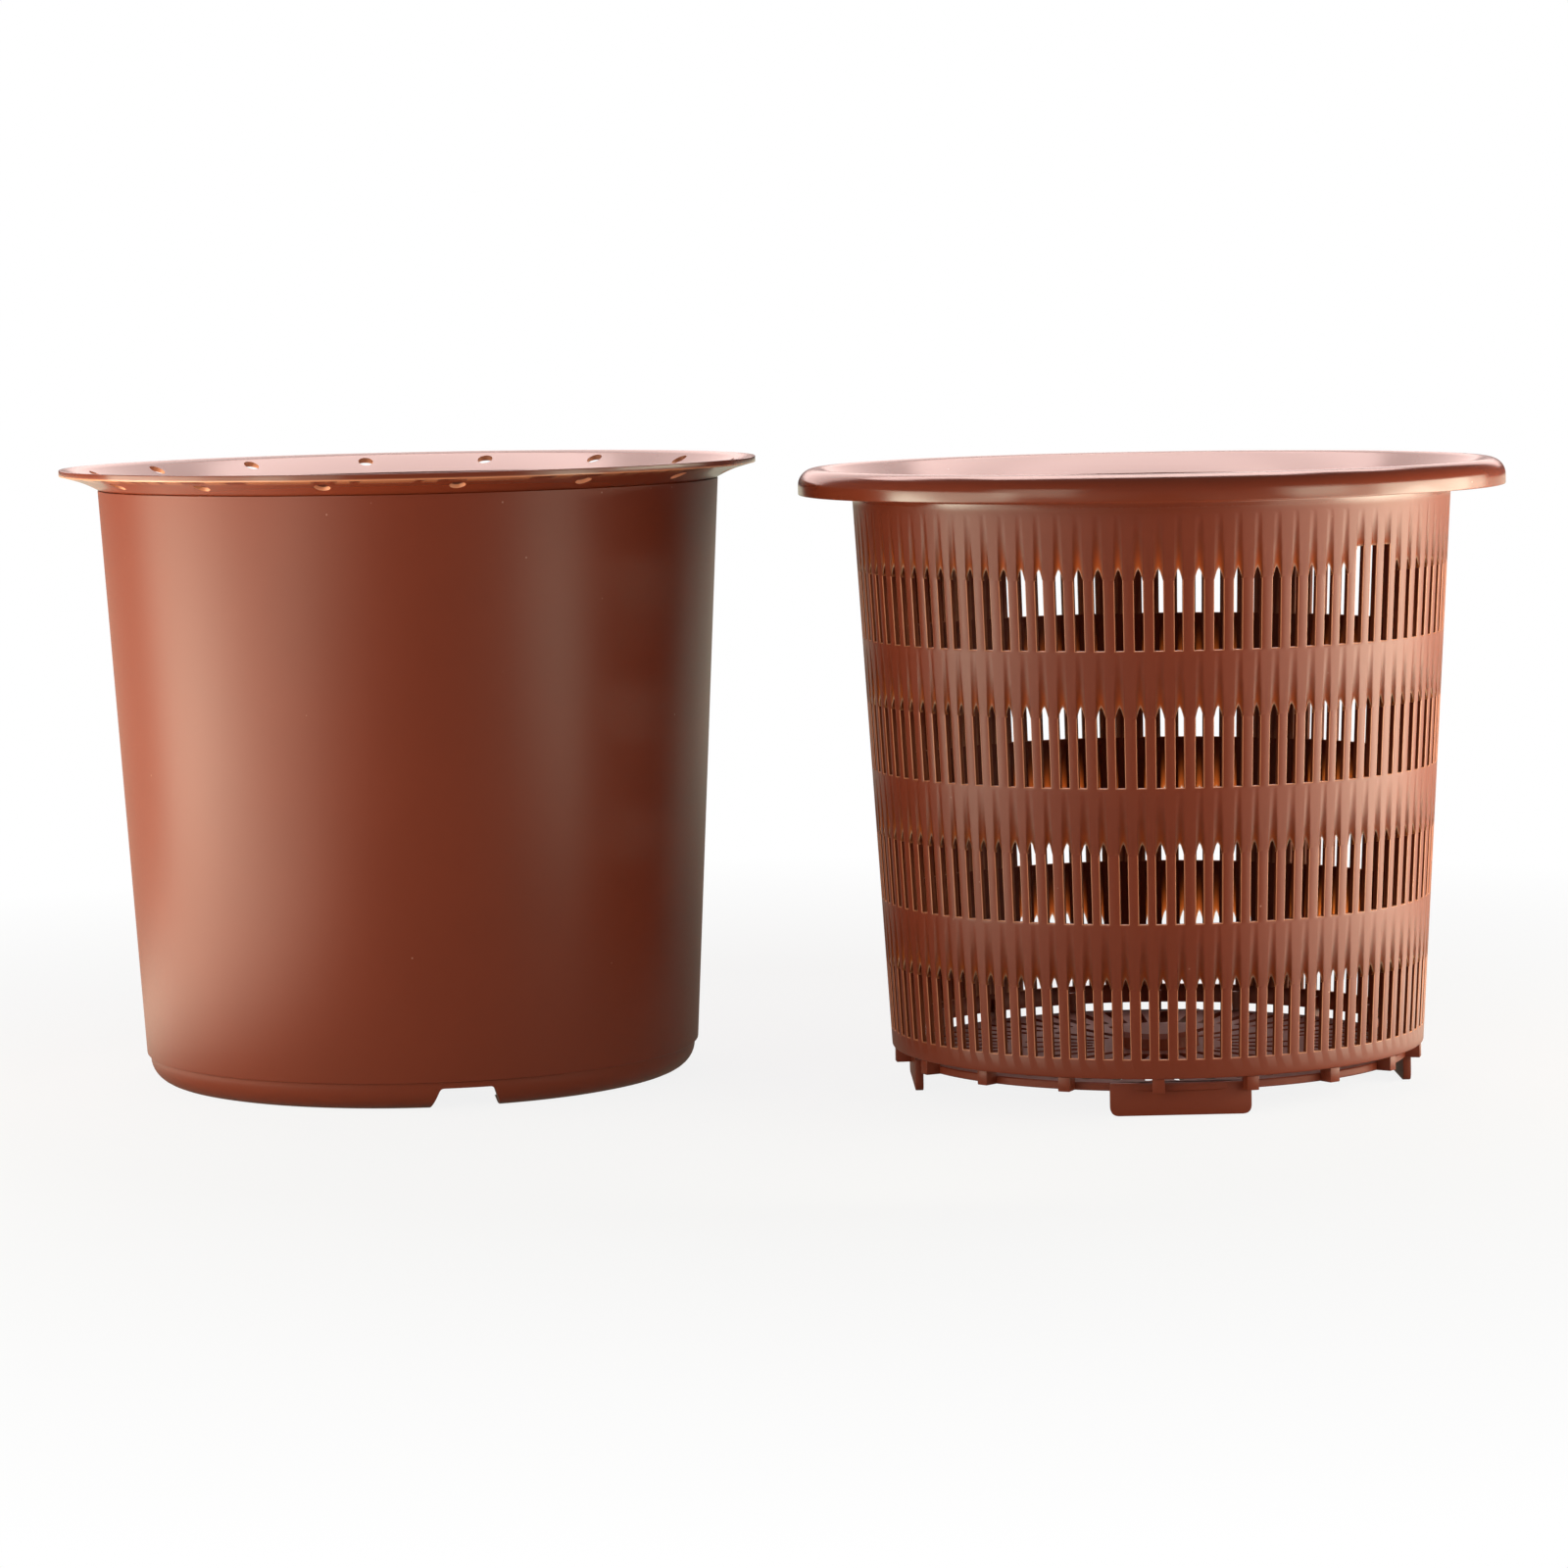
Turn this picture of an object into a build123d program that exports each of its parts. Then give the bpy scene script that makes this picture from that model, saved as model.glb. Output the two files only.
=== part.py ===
"""Orchid pot in two parts: a smooth outer pot with a flared rim, and a slotted basket that drops into it.

Sizes are in millimetres and +Z is up. Both parts stand on the plane z = 0, side by side, and the
origin is the middle of the ground they cover. Angles are measured from +X, and the front is -Y.
"""

import os
from math import cos, radians, sin, tan

from build123d import *

# Outer pot: wall, flared rim and floor
pot_height = 157.2
pot_top_radius = 79.3
pot_base_radius = 71.2
pot_wall = 2.0
pot_floor = 2.0
pot_floor_round = 3.0
flange_width = 9.7
flange_rise = 5.4
flange_edge = 1.2
flange_thickness = 1.5
shoulder = 0.5

# Outer pot: holes through the flared rim
rim_hole_count = 16
rim_hole_diameter = 4.0
rim_hole_inset = 4.6
rim_hole_angle = -78.75

# Outer pot: foot ring with drain notches, and drain holes in the floor
foot_height = 7.0
foot_step = 0.9
foot_round = 6.0
foot_wall = 2.0
foot_land = 1.8
notch_count = 3
notch_width = 17.5
notch_slope = 2.1
notch_height = 5.4
notch_round = 1.4
notch_angle = -78.2
drain_count = 8
drain_diameter = 8.0
drain_circle_radius = 44.0

# Basket: wall and rolled rim
air_gap = 3.15
basket_wall_thickness = 2.0
rim_setback = 1.1
rim_round = 4.2
rim_wall = 1.8
rim_lip = 2.3
funnel_angle = 32.0

# Basket: rows of slots, each one a groove that deepens downwards until it breaks through the wall
slot_rows = 4
slots_per_row = 96
slot_width = 2.05
slot_height = 19.4
slot_point = 0.75
slot_angle = -93.9
skirt_height = 4.8
collar_height = 15.6
band_land = 0.8
square_slot_count = 3
square_slot_first = 11
square_slot_extra = 3.7

# Basket: floor grate, lugs and feet
foot_plate_height = 6.0
foot_plate_width = 34.0
foot_plate_thickness = 2.0
foot_plate_count = 4
foot_plate_round = 2.2
foot_plate_inset = 1.0
foot_plate_angle = -90.0
grate_thickness = 2.0
grate_edge_gap = 1.9
drip_gap = 1.5
hub_radius = 10.5
hub_rise = 4.0
hub_chamfer = 1.2
grate_bar = 4.0
grate_slot_width = 2.4
inner_slot_count = 24
outer_slot_count = 48
grate_slot_start = 16.0
grate_slot_middle = 36.0
lug_count = 18
lug_width = 3.0
lug_setback = 0.3
lug_root = 1.5
lug_angle = -95.0
tongue_height = 3.5
tongue_thickness = 1.8
tongue_clearance = 0.3

# Standing places: gap between the rims seen from the front, and how far the basket stands forward
rim_gap = 10.0
basket_forward = 39.5

# Length by which a cutter runs past the surface it cuts
overcut = 5.0

# Outer pot: heights and radii that follow from the sizes above
pot_rim_radius = pot_top_radius + flange_width
pot_wall_top = pot_height - flange_rise
pot_floor_top = foot_height + pot_floor
foot_radius = pot_base_radius - foot_step
foot_land_outer = foot_radius - foot_round
foot_land_inner = foot_land_outer - foot_land
pot_slope = (pot_top_radius - pot_base_radius) / (pot_wall_top - foot_height)
rim_hole_circle = pot_rim_radius - rim_hole_inset

# Basket: its lip rests on the flared rim while its feet stand on the pot's floor
lip_height = pot_height - pot_floor_top
basket_rim_radius = pot_rim_radius - rim_setback
skirt_bottom = foot_plate_height + grate_thickness + drip_gap
first_slot = skirt_bottom + skirt_height


def pot_inside(height):
    """Radius of the outer pot's inner wall at a height above the ground."""
    return pot_base_radius - pot_wall + pot_slope * (height - foot_height)


def basket_outside(height):
    """Radius of the basket's outer wall at a height above its feet, an air gap inside the pot."""
    return pot_inside(height + pot_floor_top) - air_gap


def basket_inside(height):
    """Radius of the basket's inner wall at a height above its feet."""
    return basket_outside(height) - basket_wall_thickness


flange_foot_height = pot_wall_top + flange_thickness
flange_foot = (pot_inside(flange_foot_height), flange_foot_height)

# Basket: the rolled rim is an arc over the crest, between the funnel inside and the lip outside
crest_radius = basket_rim_radius - rim_round
crest_height = lip_height + rim_lip
roll_start = 90 + funnel_angle
roll_cos = cos(radians(roll_start))
roll_sin = sin(radians(roll_start))
funnel_top = (crest_radius + rim_round * roll_cos, crest_height + rim_round * roll_sin)
rim_bend = rim_round - rim_wall
underside_top = (crest_radius + rim_bend * roll_cos, crest_height + rim_bend * roll_sin)
funnel_slope = tan(radians(funnel_angle))


def meet(point, radius_at):
    """Where the funnel's slope, run down from a point, meets a tapered wall."""
    height = point[1]
    reach = point[0] - radius_at(height)
    drop = reach * funnel_slope / (1 - pot_slope * funnel_slope)
    return (radius_at(height - drop), height - drop)


funnel_foot = meet(funnel_top, basket_inside)
underside_foot = meet(underside_top, basket_outside)
row_span = underside_foot[1] - collar_height - slot_height - first_slot
row_pitch = row_span / (slot_rows - 1)
groove_top = first_slot + row_pitch - band_land
slot_tip = first_slot + slot_height
top_slot = first_slot + row_span
slot_step = 360 / slots_per_row
groove_slope = (basket_outside(groove_top) - basket_inside(slot_tip)) / (groove_top - slot_tip)
groove_bottom_radius = basket_inside(slot_tip) - groove_slope * slot_height

# Basket: floor grate and feet
grate_radius = basket_inside(skirt_bottom) - grate_edge_gap
grate_top = foot_plate_height + grate_thickness
hub_top = grate_top + hub_rise
foot_plate_face = grate_radius - foot_plate_inset
lug_face = basket_outside(skirt_bottom) - lug_setback
tongue_face = basket_inside(skirt_bottom) - tongue_clearance

# Standing places, with the origin in the middle of the ground that both parts cover
pot_x = -(rim_gap / 2 + basket_rim_radius)
pot_y = (basket_forward + basket_rim_radius - pot_rim_radius) / 2
basket_x = rim_gap / 2 + pot_rim_radius
basket_y = pot_y - basket_forward

pot_section = Plane(origin=(pot_x, pot_y, 0), x_dir=(1, 0, 0), z_dir=(0, -1, 0))
pot_axis = Axis((pot_x, pot_y, 0), (0, 0, 1))
pot_ground = Plane(origin=(pot_x, pot_y, 0))
basket_section = Plane(origin=(basket_x, basket_y, 0), x_dir=(1, 0, 0), z_dir=(0, -1, 0))
basket_axis = Axis((basket_x, basket_y, 0), (0, 0, 1))
basket_ground = Plane(origin=(basket_x, basket_y, 0))


# Outer pot: one drain notch, cut outwards from the axis through the foot ring
with BuildPart() as notch_cutter:
    with BuildSketch(Plane.YZ) as notch_outline:
        with BuildLine():
            Polyline(
                (-notch_width / 2, -overcut),
                (-notch_width / 2, 0),
                (-notch_width / 2 + notch_slope, notch_height),
                (notch_width / 2 - notch_slope, notch_height),
                (notch_width / 2, 0),
                (notch_width / 2, -overcut),
                close=True,
            )
        make_face()
        fillet(notch_outline.vertices().group_by(Axis.Y)[-1], notch_round)
    extrude(amount=foot_radius + overcut)

# Outer pot
with BuildPart() as outer_pot:
    with BuildSketch(pot_section) as pot_profile:
        with BuildLine():
            Polyline(
                (0, pot_floor_top),
                (0, foot_height),
                (foot_radius - foot_wall, foot_height),
                (foot_radius - foot_wall, foot_round),
            )
            CenterArc((foot_land_outer, foot_round), foot_round - foot_wall, 0, -90)
            Polyline(
                (foot_land_outer, foot_wall),
                (foot_land_inner, foot_wall),
                (foot_land_inner, 0),
                (foot_land_outer, 0),
            )
            CenterArc((foot_land_outer, foot_round), foot_round, -90, 90)
            Polyline(
                (foot_radius, foot_round),
                (foot_radius, foot_height),
                (pot_base_radius, foot_height),
                (pot_top_radius, pot_wall_top),
                (pot_top_radius - shoulder, pot_wall_top),
            )
            TangentArc(
                (pot_rim_radius, pot_height - flange_edge),
                (pot_top_radius - shoulder, pot_wall_top),
                tangent=(-1, 0),
            )
            Line((pot_rim_radius, pot_height - flange_edge), (pot_rim_radius, pot_height))
            TangentArc((pot_rim_radius, pot_height), flange_foot, tangent=(-1, 0))
            Polyline(flange_foot, (pot_inside(pot_floor_top), pot_floor_top), (0, pot_floor_top))
        make_face()
    revolve(axis=pot_axis)
    inside_corner = outer_pot.edges().filter_by_position(Axis.Z, pot_floor_top, pot_floor_top)
    fillet(inside_corner.filter_by(GeomType.CIRCLE), pot_floor_round)
    with BuildSketch(pot_ground.offset(pot_wall_top)):
        with PolarLocations(rim_hole_circle, rim_hole_count, start_angle=rim_hole_angle):
            Circle(rim_hole_diameter / 2)
    extrude(amount=flange_rise + overcut, mode=Mode.SUBTRACT)
    with BuildSketch(pot_ground.offset(pot_floor_top + overcut)):
        with PolarLocations(drain_circle_radius, drain_count):
            Circle(drain_diameter / 2)
    extrude(amount=-pot_floor_top - overcut, mode=Mode.SUBTRACT)
    with Locations(pot_ground):
        with PolarLocations(0, notch_count, start_angle=notch_angle):
            add(notch_cutter.part, mode=Mode.SUBTRACT)
outer_pot.part.label = "outer_pot"

# Basket: one slot of the lowest row with the groove above it, on the +X side of the axis
with BuildPart() as slot_cutter:
    with BuildSketch(Plane.XY.offset(first_slot)):
        with BuildLine():
            Polyline(
                (groove_bottom_radius, 0),
                (groove_bottom_radius + slot_point, slot_width / 2),
                (basket_outside(groove_top) + overcut, slot_width / 2),
                (basket_outside(groove_top) + overcut, -slot_width / 2),
                (groove_bottom_radius + slot_point, -slot_width / 2),
                close=True,
            )
        make_face()
    extrude(
        amount=(groove_top - first_slot) * (1 + groove_slope**2) ** 0.5,
        dir=(groove_slope, 0, 1),
    )

# Basket: that slot repeated up the slope of the wall, once for each row
with BuildPart() as slot_column:
    for row in range(slot_rows):
        with Locations((row * row_pitch * pot_slope, 0, row * row_pitch)):
            add(slot_cutter.part)

# Basket: the square top of a taller slot in the highest row
with BuildPart() as square_slot_cutter:
    with BuildSketch(Plane.XY.offset(top_slot)):
        with Locations((basket_inside(top_slot) - overcut, 0)):
            Rectangle(
                2 * overcut + basket_wall_thickness,
                slot_width,
                align=(Align.MIN, Align.CENTER),
            )
    extrude(amount=slot_height + square_slot_extra)

# Basket wall with its rolled rim
with BuildPart() as basket_wall:
    with BuildSketch(basket_section):
        with BuildLine():
            Polyline(
                funnel_top,
                funnel_foot,
                (basket_inside(skirt_bottom), skirt_bottom),
                (basket_outside(skirt_bottom), skirt_bottom),
                underside_foot,
                underside_top,
            )
            CenterArc((crest_radius, crest_height), rim_bend, roll_start, -roll_start)
            Polyline(
                (crest_radius + rim_bend, crest_height),
                (crest_radius + rim_bend, lip_height),
                (crest_radius + rim_round, lip_height),
                (crest_radius + rim_round, crest_height),
            )
            CenterArc((crest_radius, crest_height), rim_round, 0, roll_start)
        make_face()
    revolve(axis=basket_axis)
    with Locations(basket_ground):
        with PolarLocations(
            0,
            square_slot_count,
            start_angle=slot_angle + square_slot_first * slot_step,
            angular_range=square_slot_count * slot_step,
        ):
            add(square_slot_cutter.part, mode=Mode.SUBTRACT)
        with PolarLocations(0, slots_per_row, start_angle=slot_angle):
            add(slot_column.part, mode=Mode.SUBTRACT, clean=False)
basket_wall.part.label = "basket_wall"

# Basket: one lug that carries the skirt, with a tongue that stands inside it
with BuildPart() as lug:
    with BuildSketch(Plane.XZ.offset(-lug_width / 2)):
        with BuildLine():
            Polyline(
                (grate_radius - lug_root, foot_plate_height),
                (lug_face, foot_plate_height),
                (lug_face, skirt_bottom),
                (tongue_face, skirt_bottom),
                (tongue_face, skirt_bottom + tongue_height),
                (tongue_face - tongue_thickness, skirt_bottom + tongue_height),
                (tongue_face - tongue_thickness, grate_top),
                (grate_radius - lug_root, grate_top),
                close=True,
            )
        make_face()
    extrude(amount=lug_width)

# Basket: one plate foot with rounded lower corners
with BuildPart() as foot_plate:
    with BuildSketch(Plane.YZ.offset(foot_plate_face)) as plate_outline:
        Rectangle(foot_plate_width, grate_top, align=(Align.CENTER, Align.MIN))
        fillet(plate_outline.vertices().group_by(Axis.Y)[0], foot_plate_round)
    extrude(amount=-foot_plate_thickness)

# Basket floor: grate with a raised hub, two rings of slots, lugs and feet
with BuildPart() as basket_floor:
    with BuildSketch(basket_section):
        with BuildLine():
            Polyline(
                (0, foot_plate_height),
                (grate_radius, foot_plate_height),
                (grate_radius, grate_top),
                (hub_radius, grate_top),
                (hub_radius, hub_top - hub_chamfer),
                (hub_radius - hub_chamfer, hub_top),
                (0, hub_top),
                close=True,
            )
        make_face()
    revolve(axis=basket_axis)
    inner_slot_length = grate_slot_middle - grate_bar / 2 - grate_slot_start
    outer_slot_length = grate_radius - grate_bar - (grate_slot_middle + grate_bar / 2)
    with BuildSketch(basket_ground):
        with PolarLocations(grate_slot_start + inner_slot_length / 2, inner_slot_count):
            SlotOverall(inner_slot_length, grate_slot_width)
        with PolarLocations(grate_slot_middle + grate_bar / 2 + outer_slot_length / 2, outer_slot_count):
            SlotOverall(outer_slot_length, grate_slot_width)
    extrude(amount=hub_top, mode=Mode.SUBTRACT)
    with Locations(basket_ground):
        with PolarLocations(0, lug_count, start_angle=lug_angle):
            add(lug.part)
        with PolarLocations(0, foot_plate_count, start_angle=foot_plate_angle):
            add(foot_plate.part)
basket_floor.part.label = "basket_floor"

os.makedirs("parts", exist_ok=True)
export_step(outer_pot.part, "parts/outer_pot.step")
export_step(basket_wall.part, "parts/basket_wall.step")
export_step(basket_floor.part, "parts/basket_floor.step")
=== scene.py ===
"""Looks for an orchid pot: a smooth outer pot and the slotted basket that drops into it.

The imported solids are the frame. Each piece below stands in for one of them, in the same place and size,
with the roundings, grooves, thin tips and moulded finish that the solids leave out.
"""

from math import cos, hypot, pi, radians, sin, tan

import bmesh
import bpy
from bpy.props import FloatProperty, FloatVectorProperty, IntProperty, PointerProperty
from mathutils import Matrix, Vector


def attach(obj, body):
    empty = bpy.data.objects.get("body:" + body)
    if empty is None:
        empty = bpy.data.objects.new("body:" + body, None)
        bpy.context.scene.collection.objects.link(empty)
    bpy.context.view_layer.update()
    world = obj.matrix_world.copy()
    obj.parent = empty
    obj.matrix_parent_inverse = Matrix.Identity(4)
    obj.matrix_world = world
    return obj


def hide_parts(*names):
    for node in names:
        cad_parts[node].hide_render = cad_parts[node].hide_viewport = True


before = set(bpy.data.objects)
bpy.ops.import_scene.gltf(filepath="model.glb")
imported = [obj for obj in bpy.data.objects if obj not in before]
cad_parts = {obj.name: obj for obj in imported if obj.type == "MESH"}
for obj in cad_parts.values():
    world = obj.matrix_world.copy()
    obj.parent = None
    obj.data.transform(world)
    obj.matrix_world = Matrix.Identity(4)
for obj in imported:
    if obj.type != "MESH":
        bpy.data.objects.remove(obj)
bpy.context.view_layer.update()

bl_info = {
    "name": "Slotted orchid pot",
    "version": (1, 0, 0),
    "blender": (4, 5, 0),
    "location": "3D View > Sidebar > Orchid Pot",
    "description": "Builds a smooth outer pot, its slotted basket and a plain stage",
    "category": "Object",
}

MM = 0.001
EASE = 0.3 * MM  # common rounding of a moulded edge
WELD = 0.004 * MM  # points nearer than this become one
CUTTER_SIDES = 40
UNDER_GROUND = 1.0 * MM  # notch cutters start this far below the ground
POLYPROPYLENE_IOR = 1.49
WANDER_SEED = 5
SECOND_SEED = 7.0  # added for the second draw of each slot
ROW_STEP = 16.0  # keeps the draws of one slot's rows apart
# Faces that meet more sharply than these angles keep a hard edge
POT_CREASE = radians(32)
WALL_CREASE = radians(38)
FLOOR_CREASE = radians(35)


def linear(hex_text):
    """Linear RGBA of an sRGB hex colour."""
    channels = [int(hex_text[i : i + 2], 16) / 255 for i in (1, 3, 5)]
    return [c / 12.92 if c <= 0.04045 else ((c + 0.055) / 1.055) ** 2.4 for c in channels] + [1.0]


def length(name, description, millimetres):
    """A length property whose default is given in millimetres."""
    return FloatProperty(
        name=name, description=description, default=millimetres * MM, unit="LENGTH", precision=5
    )


def turn(name, description, degrees):
    """An angle property whose default is given in degrees."""
    return FloatProperty(name=name, description=description, default=radians(degrees), subtype="ANGLE")


def count(name, description, number):
    """A whole number of like parts."""
    return IntProperty(name=name, description=description, default=number, min=1)


def fraction(name, description, part):
    """A property between nought and one."""
    return FloatProperty(name=name, description=description, default=part, min=0, max=1, subtype="FACTOR")


def place(name, description, millimetres):
    """A point whose default is given in millimetres."""
    return FloatVectorProperty(
        name=name,
        description=description,
        default=[value * MM for value in millimetres],
        subtype="TRANSLATION",
        unit="LENGTH",
        precision=5,
    )


def paint(name, description, hex_text):
    """A colour property whose default is an sRGB hex value."""
    return FloatVectorProperty(
        name=name,
        description=description,
        default=linear(hex_text),
        size=4,
        subtype="COLOR",
        min=0,
        max=1,
    )


class OuterPotSizes(bpy.types.PropertyGroup):
    """Sizes of the smooth outer pot."""

    centre: place("Centre", "Where the pot's axis meets the ground", (-92.9, 19.2, 0.0))
    height: length("Height", "Ground to the top of the flared rim", 157.2)
    top_radius: length("Top radius", "Outside of the wall under the flared rim", 79.3)
    base_radius: length("Base radius", "Outside of the wall above the foot", 71.2)
    wall: length("Wall", "Thickness of the wall and floor", 2.0)
    rim_radius: length("Rim radius", "Outside of the flared rim", 89.0)
    rim_rise: length("Rim rise", "Height of the flare above the wall", 5.4)
    rim_edge: length("Rim edge", "Thickness of the rim's outer edge", 1.6)
    shoulder: length("Shoulder", "Ledge on top of the wall under the flare", 0.5)
    lip: length("Lip", "Width of the nearly level lip outside the flare", 2.4)
    flare: turn("Flare", "Slope of the rim between the lip and the wall", 26.0)
    foot_height: length("Foot height", "Ground to the step above the foot", 7.0)
    foot_step: length("Foot step", "How far the foot is set in from the wall", 0.9)
    foot_round: length("Foot round", "Rounding of the foot towards the ground", 6.0)
    foot_land: length("Foot land", "Width of the ring that stands on the ground", 1.8)
    segments: count("Segments", "Faces round the pot", 288)
    hole_count: count("Rim holes", "Holes through the flared rim", 16)
    hole_radius: length("Rim hole radius", "Radius of a rim hole", 2.0)
    hole_circle: length("Rim hole circle", "Radius of the circle of rim holes", 83.4)
    hole_start: turn("First rim hole", "Angle of a rim hole from +X", -78.75)
    notch_count: count("Notches", "Drain notches in the foot", 3)
    notch_width: length("Notch width", "Width of a notch at the ground", 17.5)
    notch_slope: length("Notch slope", "How far each side of a notch leans in", 2.1)
    notch_height: length("Notch height", "Ground to the top of a notch", 5.4)
    notch_round: length("Notch round", "Rounding of a notch's upper corners", 1.4)
    notch_start: turn("First notch", "Angle of a notch from +X", -78.2)
    drain_count: count("Drain holes", "Holes in the floor", 8)
    drain_radius: length("Drain radius", "Radius of a drain hole", 4.0)
    drain_circle: length("Drain circle", "Radius of the circle of drain holes", 44.0)


class BasketSizes(bpy.types.PropertyGroup):
    """Sizes of the slotted basket's wall and rim."""

    centre: place("Centre", "Where the basket's axis meets the ground", (94.0, -20.3, 0.0))
    base_radius: length("Base radius", "Outside of the wall, carried down to the ground", 66.162)
    draft: turn("Draft", "Lean of the wall from upright", 3.2018)
    wall: length("Wall", "Thickness of the wall", 1.2)
    skirt_bottom: length("Skirt bottom", "Ground to the lower edge of the wall", 9.5)
    first_slot: length("First slot", "Ground to the bottom of the lowest slots", 14.3)
    row_pitch: length("Row pitch", "Height from one row of slots to the next", 32.74)
    rows: count("Rows", "Rows of slots", 4)
    slots: count("Slots", "Slots in each row", 96)
    slot_start: turn("First slot", "Angle of a slot from +X", -93.9)
    slot_width: length("Slot width", "Width of a slot", 2.12)
    slot_height: length("Slot height", "Height of a slot to its tip", 19.4)
    arch_rise: length("Arch rise", "Height of a slot's pointed arch", 3.1)
    hollow: length("Hollow", "How far the thin wall over an arch is sunk", 0.42)
    land: length("Land", "Plain band between a slot and the groove below it", 0.8)
    slot_edge: length("Slot edge", "Rounding of a slot's outer edge", 0.28)
    tip_edge: length("Tip edge", "Thickness left where a groove breaks through", 0.12)
    thicken: FloatProperty(
        name="Thicken", description="How fast the wall over an arch grows thicker upwards", default=0.07
    )
    wander: length("Wander", "How much a slot's width and place vary", 0.16)
    tall_first: count("First tall slot", "Number of the first square-topped slot", 11)
    tall_count: count("Tall slots", "Square-topped slots in the top row", 3)
    tall_extra: length("Tall extra", "How far a square-topped slot rises past the others", 3.7)
    rim_radius: length("Rim radius", "Outside of the rolled rim", 87.9)
    rim_round: length("Rim round", "Radius of the roll", 4.2)
    rim_wall: length("Rim wall", "Thickness of the rolled lip", 1.8)
    lip_height: length("Lip height", "Ground to the lower edge of the lip", 148.2)
    lip_drop: length("Lip drop", "How far the lip hangs below the roll", 2.3)
    funnel: turn("Funnel", "Slope of the funnel inside the rim", 32.0)


class FloorSizes(bpy.types.PropertyGroup):
    """Sizes of the basket's grated floor, lugs and feet."""

    radius: length("Radius", "Outside of the grate", 62.793)
    bottom: length("Bottom", "Ground to the underside of the grate", 6.0)
    top: length("Top", "Ground to the upper face of the grate", 8.0)
    hub_radius: length("Hub radius", "Radius of the raised hub", 10.5)
    hub_top: length("Hub top", "Ground to the top of the hub", 12.0)
    hub_chamfer: length("Hub chamfer", "Slope round the top of the hub", 1.2)
    slot_width: length("Slot width", "Width of the grate's slots", 2.4)
    inner_slots: count("Inner slots", "Slots in the inner ring", 24)
    outer_slots: count("Outer slots", "Slots in the outer ring", 48)
    inner_start: length("Inner start", "Radius where the inner slots start", 16.0)
    middle: length("Middle", "Radius of the bar between the rings", 36.0)
    bar: length("Bar", "Width of the middle bar and of the outer ring", 4.0)
    lug_count: count("Lugs", "Lugs that carry the wall", 18)
    lug_start: turn("First lug", "Angle of a lug from +X", -95.0)
    lug_width: length("Lug width", "Width of a lug", 3.0)
    lug_face: length("Lug face", "Radius of a lug's outer face", 66.393)
    tongue_face: length("Tongue face", "Radius of the tongue behind the wall", 64.393)
    tongue_wall: length("Tongue wall", "Thickness of the tongue", 1.8)
    tongue_top: length("Tongue top", "Ground to the top of the tongue", 13.0)
    foot_count: count("Feet", "Plate feet", 4)
    foot_start: turn("First foot", "Angle of a foot from +X", -90.0)
    foot_width: length("Foot width", "Width of a plate foot", 34.0)
    foot_wall: length("Foot wall", "Thickness of a plate foot", 2.0)
    foot_face: length("Foot face", "Distance of a foot's outer face from the axis", 61.793)
    foot_round: length("Foot round", "Rounding of a foot's lower corners", 2.2)


class PlasticLook(bpy.types.PropertyGroup):
    """Colours and finish of the moulded plastic."""

    body: paint("Body", "Brown plastic in plain light", "#7E3521")
    shade: paint("Shade", "Darker clouds in the brown", "#76311E")
    # Painted shade: the near-black brown laid on the basket's inner face and the slots' upright sides,
    # where shade falls
    inside: paint("Inside", "Dull brown of the basket's inner face", "#1E0A06")
    glow: paint("Glow", "Light that comes through where the plastic is thin", "#F9B379")
    tip: paint("Tip", "Light that comes through the thinnest edges", "#FFEEDC")
    # The pale edge colour along the slots is partly whitened plastic at sharp edges, partly painted light
    # through the thin edges
    edge: paint("Edge", "Pale line along the slots' edges", "#D88C68")
    dust: paint("Dust", "Specks of dust and rubbed marks", "#C79A88")
    satin: fraction("Satin", "Roughness of the plain walls", 0.36)
    polish: fraction("Polish", "Roughness of the polished rims", 0.16)
    grain: fraction("Grain", "How far the satin grain changes the roughness", 0.06)
    wall_gloss: fraction("Wall gloss", "Gloss of the plain walls", 0.36)
    rim_gloss: fraction("Rim gloss", "Gloss of the polished rims", 0.6)
    inside_gloss: fraction("Inside gloss", "Part of the gloss that the inner face keeps", 0.2)
    # Share of the painted shade that the inner face and the slots' upright sides take
    inside_shade_share: fraction("Dullness", "How much of the dull brown the inner face takes", 0.5)
    # Share of the pale edge colour: partly whitened plastic, partly painted light
    paleness: fraction("Paleness", "How much of the pale colour the edges take", 0.95)
    dusting: fraction("Dusting", "How strongly the specks of dust show", 0.5)
    clean: fraction("Clean", "Part of the cells that have no speck in them", 0.7)
    passing: fraction("Passing", "How much light passes where the plastic is thinnest", 0.9)


class StageLook(bpy.types.PropertyGroup):
    """Camera and studio round the pots."""

    camera: place("Camera", "Where the camera stands", (-19.86, -1270.0, 196.36))
    lens: FloatProperty(
        name="Lens", description="Focal length on a 36 mm wide frame", default=115.01, unit="CAMERA"
    )
    down: turn("Down", "How far the camera looks down", 5.503)
    aside: turn("Aside", "How far the camera is turned to the left", -0.965)
    roll: turn("Roll", "How far the camera leans over", -1.124)
    paper: paint("Paper", "White paper that the pots stand on", "#F2F2F2")
    lamp: paint("Lamp", "Warm white of the studio lamps", "#FFFBE1")
    overhead: paint("Overhead", "Rosy white of the lamps above and behind", "#FFDDD6")


def node(tree, kind, links=(), **settings):
    """Adds a node with its settings; an input takes a value, a socket, or another node's first output."""
    made = tree.nodes.new(kind)
    for name, value in settings.items():
        setattr(made, name, value)
    for socket, source in dict(links).items():
        if isinstance(source, bpy.types.Node):
            source = next(output for output in source.outputs if output.enabled)
        if isinstance(source, bpy.types.NodeSocket):
            tree.links.new(source, made.inputs[socket])
        else:
            made.inputs[socket].default_value = source
    return made


def cleared(owner):
    """The node tree of a material or a world, with nothing in it yet."""
    owner.use_nodes = True
    owner.node_tree.nodes.clear()
    return owner.node_tree


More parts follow.
